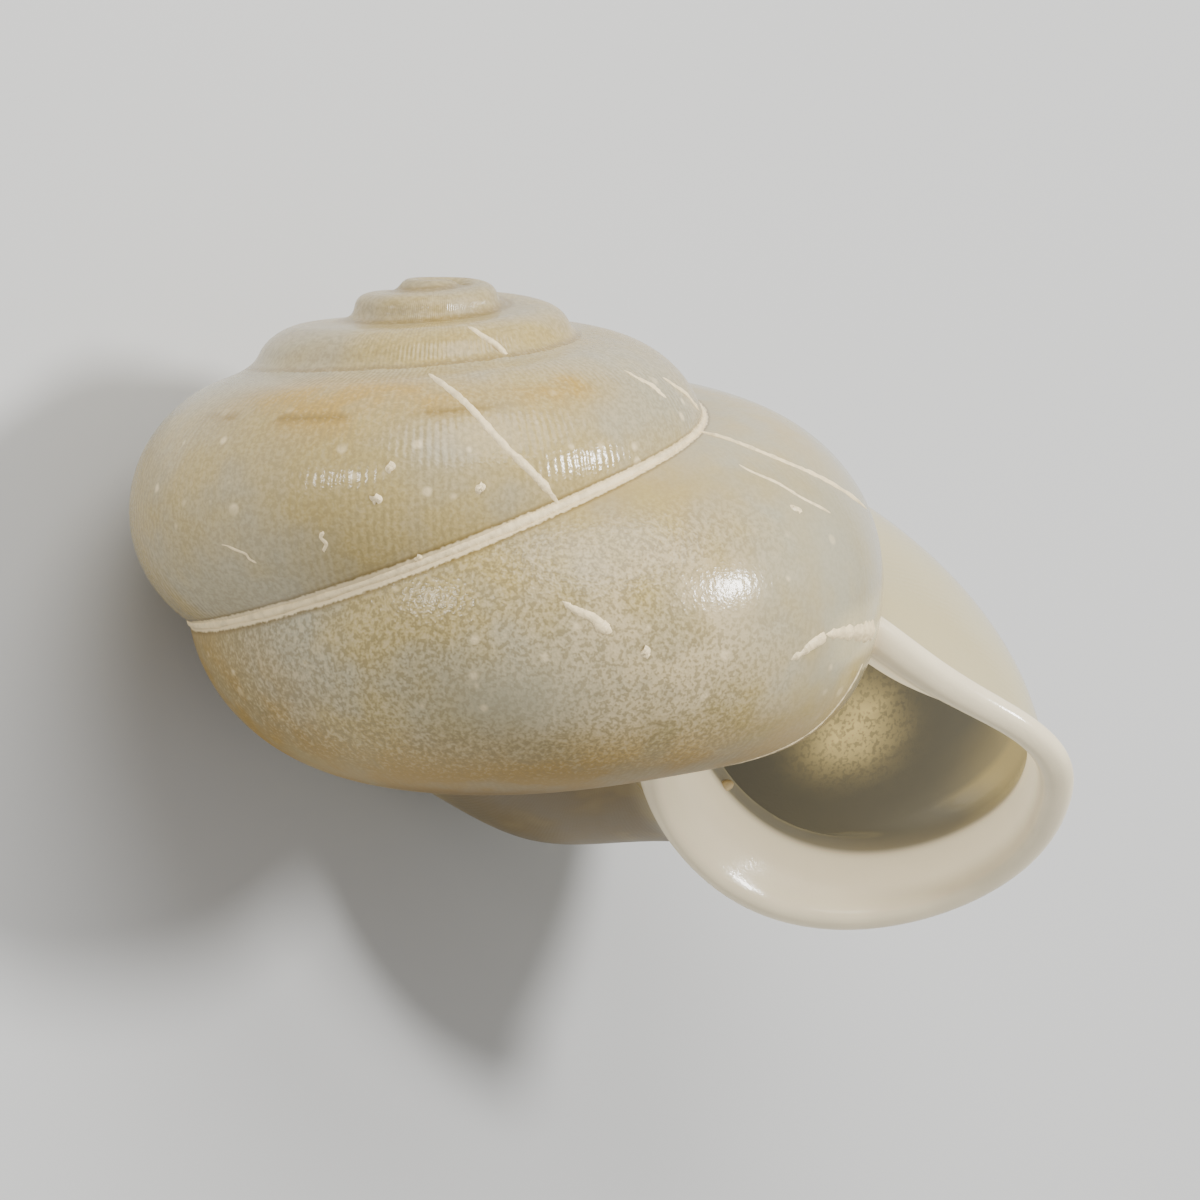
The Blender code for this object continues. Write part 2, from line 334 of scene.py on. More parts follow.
# Layers of the shell's colour from below: region, the texture that breaks it up with the level and
# the softness it is cut at, strength, colour and its factor
LAYERS = (
    ("ochre", "mottle", (0.40, 0.30), 1.0, "warm", 1.0),
    ("cool", "", (), 0.8, "cool", 1.0),
    # Painted shade on the lower side of the body whorl, in the dirt colour
    ("shade", "", (), 0.35, "dirt_and_shade", 1.0),
    ("ochre_edge", "mottle", (0.45, 0.10), 0.7, "warm", 0.5),
    ("milky", "", (), 1.0, "milky", 1.0),
    ("seam", "", (), 0.6, "warm", 0.45),
    ("blotches", "mottle", (0.48, 0.14), 0.30, "cream", 1.0),
    ("grit", "grit", (0.54, 0.10), 0.50, "flesh", 0.42),
    ("grit", "pale grit", (0.60, 0.10), 0.40, "cream", 0.66),
)

# Band along the sutures from its brown edge inwards: how far out it ends in band widths, how
# softly, strength, colour and its factor
BAND_LAYERS = ((1.35, 0.4, 0.6, "warm", 0.35), (0.95, 0.2, 0.9, "cream", 0.92))
BAND_RAGGEDNESS = 0.5

# Painted glow: emission that stands in for light coming through the thin wall: region, colour and its
# factor
GLOWS = (("inside", "inside", 0.11), ("lit_brown_wall", "flesh", 0.65), ("lip", "lip", 0.15),
         ("slope", "lip", 0.70))
PATCH_COLOUR = 1.5
PATCH_GLOW = 2.1

# Roughness of clean shell and what grit, soil and shade add, and the strength and depth (mm) of relief
SHELL_ROUGHNESS = 0.15
GRIT_ROUGHNESS = 0.07
SOIL_ROUGHNESS = 0.4
SHADE_ROUGHNESS = 0.35
SHELL_RELIEF = (0.6, 0.012)
CREAM_RELIEF = (0.8, 0.02)


class Value:
    """A node socket that takes part in plain arithmetic and in numpy's sin, cos, exp, log and sqrt."""

    def __init__(self, tree, socket):
        self.tree = tree
        self.socket = socket

    def math(self, operation, *others):
        return self.tree.add("ShaderNodeMath", {"operation": operation}, [self, *others])

    def __add__(self, other):
        return self.math("ADD", other)

    def __mul__(self, other):
        return self.math("MULTIPLY", other)

    def __sub__(self, other):
        return self.math("SUBTRACT", other)

    def __truediv__(self, other):
        return self.math("DIVIDE", other)

    def __rsub__(self, other):
        return self.tree.add("ShaderNodeMath", {"operation": "SUBTRACT"}, [other, self])

    def __rtruediv__(self, other):
        return self.tree.add("ShaderNodeMath", {"operation": "DIVIDE"}, [other, self])

    __radd__ = __add__
    __rmul__ = __mul__

    def sin(self):
        return self.math("SINE")

    def cos(self):
        return self.math("COSINE")

    def exp(self):
        return self.math("EXPONENT")

    def log(self):
        return self.math("LOGARITHM", math.e)

    def sqrt(self):
        return self.math("SQRT")

    def above(self, low, soft):
        """0 below the value low, 1 above it, with a soft step that wide."""
        return ((self - (low - soft / 2)) / soft).math("MAXIMUM", 0.0).math("MINIMUM", 1.0)


class Tree:
    """A node tree that nodes are added to by type, settings and inputs."""

    def __init__(self, tree):
        self.tree = tree

    def add(self, kind, settings=None, inputs=(), output=0):
        """Node of a type; inputs are values or Values, listed in order or keyed by socket name."""
        node = self.tree.nodes.new(kind)
        for name, setting in (settings or {}).items():
            setattr(node, name, setting)
        self.feed(node, inputs)
        return Value(self, node.outputs[output])

    def feed(self, node, inputs):
        """Sets a node's inputs to values, or links Values to them."""
        pairs = inputs.items() if isinstance(inputs, dict) else enumerate(inputs)
        for key, given in pairs:
            if isinstance(given, Value):
                self.tree.links.new(given.socket, node.inputs[key])
            else:
                node.inputs[key].default_value = given

    def outputs(self, value, *names):
        """Other outputs of the node that a Value comes from."""
        return [Value(self, value.socket.node.outputs[name]) for name in names]

    def mix(self, factor, low, high):
        """Colour between two others."""
        settings = {"data_type": "RGBA"}
        return self.add("ShaderNodeMix", settings, {0: factor, 6: low, 7: high}, output=2)

    def noise(self, vector, scale, detail, rough=0.5):
        inputs = {"Vector": vector, "Scale": scale, "Detail": detail, "Roughness": rough}
        return self.add("ShaderNodeTexNoise", {}, inputs)

    def relief(self, height, strength, depth):
        """Bumps that the height raises, so many millimetres deep."""
        inputs = {"Strength": strength, "Distance": depth * MM, "Height": height}
        return self.add("ShaderNodeBump", {}, inputs)


def at_least(value, low):
    if isinstance(value, Value):
        return value.math("MAXIMUM", low)
    return np.maximum(value, low)


def at_most(value, high):
    if isinstance(value, Value):
        return value.math("MINIMUM", high)
    return np.minimum(value, high)


# Growth laws, which work on numbers, arrays and node values alike
def gradual(turn, middle, spread):
    """Growth from 0 to 1 about the middle turn."""
    return 1 / (1 + np.exp((middle - turn) / spread))


def onset(turn, start, width):
    """Turns grown since the start, with a soft beginning."""
    return width * np.log(1 + np.exp((turn - start) / width))


def bump(value, middle, spread):
    off = (value - middle) / spread
    return np.exp(off * off * -1)


def half_width(turn):
    return YOUNG_HALF_WIDTH + HALF_WIDTH_GAIN * gradual(turn, HALF_WIDTH_TURN, HALF_WIDTH_SPREAD)


def half_height(turn):
    flattening = FLATTENING * onset(turn, FLATTENING_START, FLATTENING_ONSET)
    return half_width(turn) * (HEIGHT_RATIO + flattening)


def coil_radius(turn):
    return COIL_RADIUS * gradual(turn, COIL_RADIUS_TURN, COIL_RADIUS_SPREAD)


def coil_centre(turn):
    """Middle of the coil ring that the turn lies on."""
    slid = onset(turn, SLIDE_START, SLIDE_ONSET)
    drop = DROP_PER_TURN * onset(turn, DROP_START, DROP_ONSET)
    return SLIDE_PER_TURN * slid, -1 * drop, SINK_PER_TURN * slid


def turned(first, second, angle):
    """Two coordinates turned about the third axis."""
    return first * np.cos(angle) - second * np.sin(angle), first * np.sin(angle) + second * np.cos(angle)


def mouth_growth(turn, angle):
    """Near the mouth the section draws out at its corner and its upper end, and the whorl before swells."""
    corner = bump(angle, math.radians(CORNER_DEG), math.radians(CORNER_SPREAD_DEG))
    insertion = bump(angle, math.radians(INSERTION_DEG), math.radians(INSERTION_SPREAD_DEG))
    callus = bump(angle, math.radians(CALLUS_DEG), math.radians(CALLUS_SPREAD_DEG))
    return (CORNER_REACH * corner * np.exp(turn / CORNER_ONSET)
            + INSERTION_REACH * insertion * np.exp(turn / INSERTION_ONSET)
            + CALLUS_REACH * callus * bump(turn, CALLUS_TURN, CALLUS_TURN_SPREAD))


def tube_point(turn, angle, reach):
    """x, y and z of a point of the tube; reach 1 is its outside and 0 its middle line."""
    reach = reach * (1 + mouth_growth(turn, angle))
    outward = reach * half_width(turn) * np.cos(angle)
    upward = reach * half_height(turn) * np.sin(angle)
    upward = upward + at_most(upward, 0.0) * (BELLY * bump(turn, BELLY_TURN, BELLY_SPREAD))
    twist_deg = YOUNG_TWIST_DEG + SECTION_TWIST_DEG * gradual(turn, SECTION_TWIST_TURN, SECTION_TWIST_ONSET)
    outward, upward = turned(outward, upward, twist_deg * math.radians(1))
    radial = at_least(coil_radius(turn) + outward, LEAST_COIL_RADIUS)
    around = turn * (2 * math.pi)
    x, y, z = radial * np.cos(around), upward, radial * np.sin(around)
    y, z = turned(y, z, onset(turn, NOD_START, TIP_ONSET) * math.radians(NOD_DEG_PER_TURN))
    x, y = turned(x, y, onset(turn, LEAN_START, TIP_ONSET) * math.radians(LEAN_DEG_PER_TURN))
    centre = coil_centre(turn)
    return x + centre[0], y + centre[1], z + centre[2]


def bulb_reach(turn):
    """The tube starts as a small rounded bulb."""
    young = 1 - at_most((turn + WHORLS) / BULB_TURNS, 1.0)
    return np.sqrt(at_least(1 - young * young, BULB_LEAST_AREA))


def mouth_turn(angle):
    """The mouth's edge leans a little off the section's plane."""
    return MOUTH_SLANT * np.sin(angle) + MOUTH_SKEW * np.cos(angle)


def resting_turn(view_only=False):
    """From the coil's own axes, or from the photograph's, to the shell lying on the floor."""
    nod = Matrix.Rotation(math.radians(VIEW_NOD_DEG), 4, 'X')
    lean = Matrix.Rotation(math.radians(VIEW_LEAN_DEG), 4, 'Z')
    roll = Matrix.Rotation(math.radians(REST_ROLL_DEG), 4, 'Y')
    pitch = Matrix.Rotation(math.radians(REST_PITCH_DEG), 4, 'X')
    yaw = Matrix.Rotation(math.radians(REST_YAW_DEG), 4, 'Z')
    lying = yaw @ pitch @ roll
    return lying if view_only else lying @ lean @ nod


def resting_place():
    return Matrix.Translation(Vector(PLACE) * MM) @ resting_turn()


def length_setting(name, description, default, least, most):
    """Property for a length in millimetres."""
    return bpy.props.FloatProperty(
        name=name, description=description + " (mm)", default=default, min=least, max=most)


def share_setting(name, description, default, least, most):
    """Property for a share of something else."""
    return bpy.props.FloatProperty(
        name=name, description=description, default=default, min=least, max=most, subtype='FACTOR')


def colour_setting(name, description, default):
    return bpy.props.FloatVectorProperty(
        name=name, description=description, default=default, min=0.0, max=1.0, subtype='COLOR')


class ShellSizes(bpy.types.PropertyGroup):
    wall: share_setting(
        "Wall", "Share of the section's half width that the wall takes", 0.10, 0.03, 0.3)
    rim_reach: length_setting(
        "Rim reach", "How far the lip stands out from the whorl behind it", 0.25, 0.0, 0.6)
    rim_height: length_setting(
        "Rim height", "How far the lip's crest stands in front of the mouth", 0.15, 0.0, 0.5)
    funnel_depth: length_setting("Funnel depth", "How deep the lip slopes into the mouth", 0.50, 0.1, 1.0)
    funnel_reach: share_setting(
        "Funnel reach", "Where the lip's inner edge lies between the middle and the wall", 0.79, 0.4, 0.95)
    thread_radius: length_setting(
        "Thread radius", "Half the width of the cream thread in the widest suture", 0.060, 0.01, 0.2)
    scar_radius: length_setting(
        "Scar radius", "Half the width of a healed growth line", 0.058, 0.005, 0.1)
    crumb_size: length_setting("Crumb size", "Half the length of the largest soil crumb", 0.055, 0.01, 0.2)
    nodule_size: length_setting(
        "Nodule size", "Half the length of the white nodule in the mouth's corner", 0.13, 0.02, 0.3)
    growth_lines: bpy.props.IntProperty(
        name="Growth lines", description="Fine growth lines in each whorl", default=220, min=10, max=400)


class ShellColours(bpy.types.PropertyGroup):
    flesh: colour_setting("Whorls", "Translucent greyish beige of the whorls", (0.45, 0.345, 0.135))
    cool: colour_setting("Grey", "Cooler grey where the whorls are thinnest", (0.40, 0.365, 0.25))
    warm: colour_setting("Ochre", "Warm stain on the whorls", (0.47, 0.29, 0.045))
    cream: colour_setting("Cream", "Opaque cream of threads, scars and specks", (0.95, 0.77, 0.45))
    lip: colour_setting("Lip", "Milky white of the lip", (0.87, 0.755, 0.52))
    milky: colour_setting("Last whorl", "Paler last whorl behind the lip", (0.56, 0.485, 0.28))
    inside: colour_setting("Inside", "Olive grey of the inner wall", (0.36, 0.345, 0.28))
    # The dirt colour is real soil, and also paints shade on the lower side of the body whorl and on the
    # underside
    dirt_and_shade: colour_setting("Dirt", "Brown soil left in the creases", (0.10, 0.062, 0.028))
    floor: colour_setting("Floor", "Pale studio floor", (0.60, 0.60, 0.59))


def sizes():
    return bpy.context.scene.shell_sizes


def colours():
    return bpy.context.scene.shell_colours


def rgba(colour, factor=1.0):
    return (colour[0] * factor, colour[1] * factor, colour[2] * factor, 1.0)


# Meshes
def add_object(name, mesh):
    made = bpy.data.objects.new(name, mesh)
    bpy.context.scene.collection.objects.link(made)
    return made


def evaluated_mesh(source):
    graph = bpy.context.evaluated_depsgraph_get()
    return bpy.data.meshes.new_from_object(source.evaluated_get(graph))


def set_uv(mesh, name, first, second):
    """UV map from two values at each corner."""
    layer = mesh.uv_layers.new(name=name)
    layer.uv.foreach_set("vector", np.stack([first, second], -1).ravel())


def read(items, name, width=1, kind=float):
    """Array of one property of all the items."""
    found = np.zeros(len(items) * width, dtype=kind)
    items.foreach_get(name, found)
    return found if width == 1 else found.reshape(-1, width)


def corner_verts(mesh):
    return read(mesh.loops, "vertex_index", kind=int)


def face_corners(mesh):
    """First corner of each face and how many it has."""
    return read(mesh.polygons, "loop_start", kind=int), read(mesh.polygons, "loop_total", kind=int)


def positions(mesh):
    return read(mesh.vertices, "co", 3)


def ring_angles():
    return np.arange(SIDES) * (2 * math.pi / SIDES)


def growth_map(mesh, turns, angles, zones):
    """Stores turn, angle and zone at each corner; angles run on past half a turn at the seam."""
    corners = corner_verts(mesh)
    angle = angles[corners] / math.pi
    starts, counts = face_corners(mesh)
    face = np.repeat(np.arange(len(counts)), counts)
    highest = np.maximum.reduceat(angle, starts)
    angle = np.where(highest[face] - angle > 1.0, angle + 2.0, angle)
    set_uv(mesh, "growth", turns[corners], angle)
    set_uv(mesh, "zone", zones[corners], np.zeros(len(corners)))


def lofted(name, rings, centres, turns, angles, zones):
    """Closed solid through rings of points, each end closed by a fan about its centre."""
    count, sides = rings.shape[:2]
    verts = np.concatenate([rings.reshape(-1, 3), centres]) * MM
    index = np.arange(count * sides).reshape(count, sides)
    beside = np.roll(index, -1, axis=1)
    quads = np.stack([index[:-1], beside[:-1], beside[1:], index[1:]], -1).reshape(-1, 4)
    first_fan = np.stack([beside[0], index[0], np.full(sides, count * sides)], -1)
    last_fan = np.stack([index[-1], beside[-1], np.full(sides, count * sides + 1)], -1)
    mesh = bpy.data.meshes.new(name)
    mesh.from_pydata(verts.tolist(), [], quads.tolist() + first_fan.tolist() + last_fan.tolist())
    ends = [0, -1]
    growth_map(mesh, np.append(turns, turns[ends, 0]), np.append(angles, angles[ends, 0]),
               np.append(zones, zones[ends, 0]))
    if signed_volume(mesh) < 0:
        mesh.flip_normals()
    return add_object(name, mesh)


def signed_volume(mesh):
    mesh.calc_loop_triangles()
    points = positions(mesh)[read(mesh.loop_triangles, "vertices", 3, int)]
    return np.einsum('ij,ij->i', points[:, 0], np.cross(points[:, 1], points[:, 2])).sum()


def boolean(target, operation, tool):
    """Fuses or cuts with another closed solid, which is used up."""
    step = target.modifiers.new(operation.lower(), 'BOOLEAN')
    step.operation = operation
    step.solver = 'MANIFOLD'
    step.object = tool
    result = evaluated_mesh(target)
    target.modifiers.remove(step)
    target.data = result
    bpy.data.objects.remove(tool)


# Geometry nodes
def node_group(name, sockets):
    """Empty geometry tree with named inputs and one geometry output."""
    group = bpy.data.node_groups.new(name, 'GeometryNodeTree')
    group.interface.new_socket("Geometry", in_out='OUTPUT', socket_type='NodeSocketGeometry')
    group.interface.new_socket("Points", in_out='INPUT', socket_type='NodeSocketGeometry')
    for label, kind in sockets:
        group.interface.new_socket(label, in_out='INPUT', socket_type=kind)
    return Tree(group)


def group_input(tree, label):
    return tree.add("NodeGroupInput", output=label)


def finish_group(tree, geometry, material):
    """Realizes what the tree made, gives it its material and hands it out."""
    real = tree.add("GeometryNodeRealizeInstances", {}, [geometry])
    dressed = tree.add("GeometryNodeSetMaterial", {}, {"Geometry": real, "Material": material})
    tree.feed(tree.tree.nodes.new("NodeGroupOutput"), [dressed])


def run_group(name, mesh, tree, values):
    """Mesh that the tree makes from a mesh with these input values."""
    base = add_object(name, mesh)
    step = base.modifiers.new("grow", 'NODES')
    step.node_group = tree.tree
    for item in tree.tree.interface.items_tree:
        if item.item_type == 'SOCKET' and item.in_out == 'INPUT' and item.name in values:
            step[item.identifier] = values[item.name]
    result = evaluated_mesh(base)
    base.modifiers.remove(step)
    base.data = result
    return base


def tube_tree():
    """Stretch of the coiled tube: a cylinder whose points the growth laws put in their places."""
    tree = node_group("grown tube", (
        ("First Turn", 'NodeSocketFloat'), ("Last Turn", 'NodeSocketFloat'),
        ("Steps", 'NodeSocketInt'), ("Sides", 'NodeSocketInt'),
        ("Reach", 'NodeSocketFloat'), ("Material", 'NodeSocketMaterial')))
    cylinder = tree.add("GeometryNodeMeshCylinder", {"fill_type": 'TRIANGLE_FAN'}, {
        "Vertices": group_input(tree, "Sides"), "Side Segments": group_input(tree, "Steps"),
        "Radius": 1.0, "Depth": 2.0})
    place = tree.add("ShaderNodeSeparateXYZ", {}, [tree.add("GeometryNodeInputPosition")])
    x, y, z = tree.outputs(place, "X", "Y", "Z")
    first = group_input(tree, "First Turn")
    turn = first + (group_input(tree, "Last Turn") - first) * ((z + 1) / 2)
    angle = y.math("ARCTAN2", x)
    reach = (x * x + y * y).sqrt() * group_input(tree, "Reach") * bulb_reach(turn)
    point = tree.add("ShaderNodeCombineXYZ", {}, list(tube_point(turn, angle, reach)))
    small = tree.add("ShaderNodeVectorMath", {"operation": 'SCALE'}, {"Vector": point, "Scale": MM})
    marked = cylinder
    for name, value in (("turn", turn), ("angle", angle)):
        marked = tree.add("GeometryNodeStoreNamedAttribute", {"data_type": 'FLOAT', "domain": 'POINT'}, {
            "Geometry": marked, "Name": name, "Value": value})
    moved = tree.add("GeometryNodeSetPosition", {}, {"Geometry": marked, "Position": small})
    finish_group(tree, moved, group_input(tree, "Material"))
    return tree


def thread_tree():
    """Round thread along a chain of points, as thick as their thickness says, a little uneven."""
    tree = node_group("thread", (
        ("Radius", 'NodeSocketFloat'), ("Sides", 'NodeSocketInt'), ("Unevenness", 'NodeSocketFloat'),
        ("Grain Size", 'NodeSocketFloat'), ("Material", 'NodeSocketMaterial')))
    curve = tree.add("GeometryNodeMeshToCurve", {}, {"Mesh": group_input(tree, "Points")})
    place = tree.add("GeometryNodeInputPosition")
    wobble = tree.noise(place, 1 / group_input(tree, "Grain Size"), 3.0) - 0.5
    share = tree.add("GeometryNodeInputNamedAttribute", {"data_type": 'FLOAT'}, {"Name": "thickness"})
    radius = share * group_input(tree, "Radius") * (1 + wobble * group_input(tree, "Unevenness"))
    circle = tree.add("GeometryNodeCurvePrimitiveCircle", {}, {
        "Resolution": group_input(tree, "Sides"), "Radius": 1.0})
    swept = tree.add("GeometryNodeCurveToMesh", {}, {
        "Curve": curve, "Profile Curve": circle, "Scale": radius, "Fill Caps": True})
    finish_group(tree, swept, group_input(tree, "Material"))
    return tree


def crumb_tree():
    """Small uneven crumbs, one on each point, with sizes and turns drawn from a fixed seed."""
    tree = node_group("crumbs", (
        ("Size", 'NodeSocketFloat'), ("Least Share", 'NodeSocketFloat'), ("Seed", 'NodeSocketInt'),
        ("Unevenness", 'NodeSocketFloat'), ("Material", 'NodeSocketMaterial')))
    seed = group_input(tree, "Seed")
    pick = tree.add("FunctionNodeRandomValue", {"data_type": 'FLOAT'},
                    {2: group_input(tree, "Least Share"), 3: 1.0, "Seed": seed}, output=1)
    spin = tree.add("FunctionNodeRandomValue", {"data_type": 'FLOAT_VECTOR'},
                    {0: (0.0, 0.0, 0.0), 1: (math.tau, math.tau, math.tau), "Seed": seed + 1})
    ball = tree.add("GeometryNodeMeshIcoSphere", {}, {"Radius": 1.0, "Subdivisions": 2})
    stretch = tree.add("ShaderNodeCombineXYZ", {}, [pick, pick * CRUMB_WIDTH, pick * CRUMB_HEIGHT])
    scaled = tree.add("ShaderNodeVectorMath", {"operation": 'SCALE'},
                      {"Vector": stretch, "Scale": group_input(tree, "Size")})
    crumbs = tree.add("GeometryNodeInstanceOnPoints", {}, {
        "Points": group_input(tree, "Points"), "Instance": ball, "Rotation": spin, "Scale": scaled})
    real = tree.add("GeometryNodeRealizeInstances", {}, [crumbs])
    place = tree.add("GeometryNodeInputPosition")
    lumps = tree.noise(place, CRUMB_LUMPS / group_input(tree, "Size"), 2.0) - 0.5
    swell = tree.add("ShaderNodeVectorMath", {"operation": 'SCALE'}, {
        "Vector": tree.add("GeometryNodeInputNormal"),
        "Scale": lumps * group_input(tree, "Unevenness") * group_input(tree, "Size")})
    moved = tree.add("GeometryNodeSetPosition", {}, {"Geometry": real, "Offset": swell})
    finish_group(tree, moved, group_input(tree, "Material"))
    return tree


def chain(name, points, thickness):
    """Mesh of points joined by edges, in metres, with a thickness at each."""
    mesh = bpy.data.meshes.new(name)
    mesh.from_pydata([tuple(point) for point in points], [(k, k + 1) for k in range(len(points) - 1)], [])
    store(mesh, "thickness", np.asarray(thickness, dtype=float))
    return mesh


def rounded_ends(count, share):
    """Thickness along a thread that tapers at both ends."""
    along = np.linspace(0, 1, count)
    return np.sqrt(np.clip(np.minimum(along, 1 - along) / share, LEAST_TAPER, 1.0))


def join_meshes(name, made):
    """One object from several, which are used up."""
    for piece in made:
        piece.select_set(True)
    bpy.context.view_layer.objects.active = made[0]
    bpy.ops.object.join()
    joined = bpy.context.view_layer.objects.active
    joined.name = name
    joined.select_set(False)
    return joined


def hand_over(piece):
    """Shades a finished piece smooth and gives it its body."""
    piece.data.shade_smooth()
    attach(piece, "root")


def tube_stretch(tree, first, last, sides, steps, reach):
    """Closed solid of one stretch of the tube, with its growth map."""
    steps = max(2, round((last - first) * steps))
    values = {"First Turn": first, "Last Turn": last, "Steps": steps, "Sides": sides, "Reach": reach}
    made = run_group("stretch", bpy.data.meshes.new("stretch"), tree, values)
    mesh = made.data
    turns, angles = [read(mesh.attributes[name].data, "value") for name in ("turn", "angle")]
    growth_map(mesh, turns, angles, np.zeros(len(turns)))
    for name in ("turn", "angle"):
        mesh.attributes.remove(mesh.attributes[name])
    if signed_volume(mesh) < 0:
        mesh.flip_normals()
    return made


def make_pillar():
    """Pillar that the whorls wind around and that closes the tip."""
    turns = np.linspace(-WHORLS - PILLAR_START, PILLAR_END_TURN, PILLAR_STEPS)
    around = ring_angles()
    gap = np.maximum(0.0, coil_radius(turns) - half_width(turns))
    overlap = PILLAR_OVERLAP + PILLAR_OVERLAP_RATIO * half_width(turns)
    radius = np.minimum(gap + overlap, coil_radius(turns))[:, None]
    x, y, z = [part[:, None] for part in coil_centre(turns)]
    rings = np.stack(
        [x + radius * np.cos(around), y + 0 * around * radius, z + radius * np.sin(around)], -1)
    tip = np.array(coil_centre(-WHORLS))
    crown = tip + np.array((0, half_height(-WHORLS) * CROWN_HEIGHT_RATIO, 0))
    rings = np.concatenate([(crown + (rings[0] - tip) * CROWN_WIDTH_RATIO)[None], rings])
    turns = np.append(turns[0], turns)[:, None] + 0 * around
    zones = 0 * turns + PILLAR_ZONE
    return lofted("pillar", rings, rings[[0, -1]].mean(1), turns, around + 0 * turns, zones)


def mouth_edge(angle):
    """Frame of the mouth's edge: middle, wall, the way out from the wall and the way ahead."""
    turn = mouth_turn(angle)
    middle = np.stack(tube_point(turn, angle, 0 * angle), -1)
    wall = np.stack(tube_point(turn, angle, 0 * angle + 1), -1)
    out = wall - middle
    out /= np.linalg.norm(out, axis=-1, keepdims=True)
    centre = np.zeros(1)
    ahead = np.stack(tube_point(centre + SMALL_TURN, centre, centre), -1)
    ahead = ahead - np.stack(tube_point(centre - SMALL_TURN, centre, centre), -1)
    ahead /= np.linalg.norm(ahead)
    return middle, wall, out, ahead


def wall_speed(angle, reach):
    """Millimetres that the wall runs in one turn, at the mouth."""
    turn = mouth_turn(angle)
    after = np.stack(tube_point(turn + SMALL_TURN, angle, 0 * angle + reach), -1)
    before = np.stack(tube_point(turn - SMALL_TURN, angle, 0 * angle + reach), -1)
    return np.maximum(np.linalg.norm(after - before, axis=-1) / (2 * SMALL_TURN), LEAST_SPEED)


def smooth_through(points, per_gap):
    """Points of a smooth curve through the given ones, along the first axis."""
    padded = np.concatenate([2 * points[:1] - points[1:2], points, 2 * points[-1:] - points[-2:-1]])
    found = []
    for k in range(len(points) - 1):
        a, b, c, d = padded[k:k + 4]
        for t in np.arange(per_gap) / per_gap:
            found.append(0.5 * (2 * b + (c - a) * t + (2 * a - 5 * b + 4 * c - d) * t ** 2
                                + (3 * b - a - 3 * c + d) * t ** 3))
    found.append(points[-1])
    return np.stack(found)


def snapped(ring, mesh):
    """Ring whose points take the mesh's own where both are the same, so that the two join cleanly."""
    tree = point_tree(positions(mesh))
    found = [tree.find(point * MM) for point in ring]
    return np.array([np.array(spot) / MM if away < SNAP * MM else point
                     for point, (spot, _, away) in zip(ring, found)])


def make_mouth_whorl(before):
    """Last whorl with its wall, its rolled lip and its hollow; it goes on from the shell before."""
    s = sizes()
    angle = ring_angles() - math.pi
    degrees = np.degrees(angle)
    middle, wall, out, ahead = mouth_edge(angle)
    width = np.linalg.norm(wall - middle, axis=-1)
    narrowing = np.maximum(bump(degrees, *LOWER_LIP), UPPER_FUNNEL * bump(degrees, *UPPER_LIP))
    inner = 1 - s.wall - (1 - s.wall - s.funnel_reach) * narrowing
    rim = s.rim_reach * sum(
        (swell * bump(degrees, middle, spread) for middle, spread, swell in RIM_SWELLS), 1)
    inner_out = -(1 - inner) * width
    inside_wall = -s.wall * width

    # Outer wall, which stops short of the lip
    stop = mouth_turn(angle) - CALM_STRETCH / wall_speed(angle, 1.0)
    lag = np.linspace(0, 1, MOUTH_STEPS + 1)[:, None]
    outer_turns = MOUTH_WHORL_START + (stop - MOUTH_WHORL_START) * lag
    outer_rings = np.stack(tube_point(outer_turns, angle + 0 * lag, 1 + 0 * outer_turns), -1)
    outer_rings[0] = snapped(outer_rings[0], before)

    # Lip: round the rim, over the crest and down into the mouth
    def lip_point(outward, forward):
        return wall + out * outward[:, None] + ahead * forward

    knots = [outer_rings[-2], outer_rings[-1]]
    for share, forward, height in RIM_SECTION:
        knots.append(lip_point(share * rim, forward + height * s.rim_height))
    for share, depth in FUNNEL_SECTION:
        knots.append(lip_point(share * inner_out, -depth * s.funnel_depth))
    share, depth = FUNNEL_END
    knots.append(lip_point(share * inner_out + (1 - share) * inside_wall, -depth * s.funnel_depth))

    # Inner wall, which goes on from the lip down the hollow
    back = HOLLOW_STRETCH / wall_speed(angle, 1 - s.wall)
    start = mouth_turn(angle) - back
    inner_lag = np.linspace(0, 1, MOUTH_STEPS // 2 + 1)[:, None]
    end = MOUTH_WHORL_START + HOLLOW_STOP_TURNS
    inner_turns = start + (end - start) * inner_lag
    inner_reach = 1 - s.wall + 0 * inner_turns
    inner_rings = np.stack(tube_point(inner_turns, angle + 0 * inner_lag, inner_reach), -1)
    knots += [inner_rings[0], inner_rings[1]]
    lip_rings = smooth_through(np.stack(knots), LIP_STEPS)[LIP_STEPS + 1:-LIP_STEPS - 1]
    lip_zones = np.linspace(0, 1, len(lip_rings))[:, None] + 0 * angle
    lip_turns = mouth_turn(angle) + 0 * lip_zones

    rings = np.concatenate([outer_rings, lip_rings, inner_rings])
    turns = np.concatenate([outer_turns, lip_turns, inner_turns])
    zones = np.concatenate([0 * outer_turns, lip_zones, 2 + 0 * inner_turns])
    ends = [outer_turns[0].mean() - PLUG_TURNS, inner_turns[-1].mean()]
    centres = np.stack([np.array(tube_point(turn, 0.0, 0.0)) for turn in ends])
    return lofted("mouth_whorl", rings, centres, turns, angle + 0 * turns, zones)


def grind_flat(shell):
    """Cuts off what lies below the floor, which leaves the small flat spot."""
    half = GROUND_SIZE * MM / 2
    corners = [(x * half, y * half, z * half - half) for x in (-1, 1) for y in (-1, 1) for z in (-1, 1)]
    faces = [(0, 1, 3, 2), (4, 6, 7, 5), (0, 4, 5, 1), (2, 3, 7, 6), (0, 2, 6, 4), (1, 5, 7, 3)]
    mesh = bpy.data.meshes.new("ground")
    mesh.from_pydata(corners, [], faces)
    boolean(shell, 'DIFFERENCE', add_object("ground", mesh))


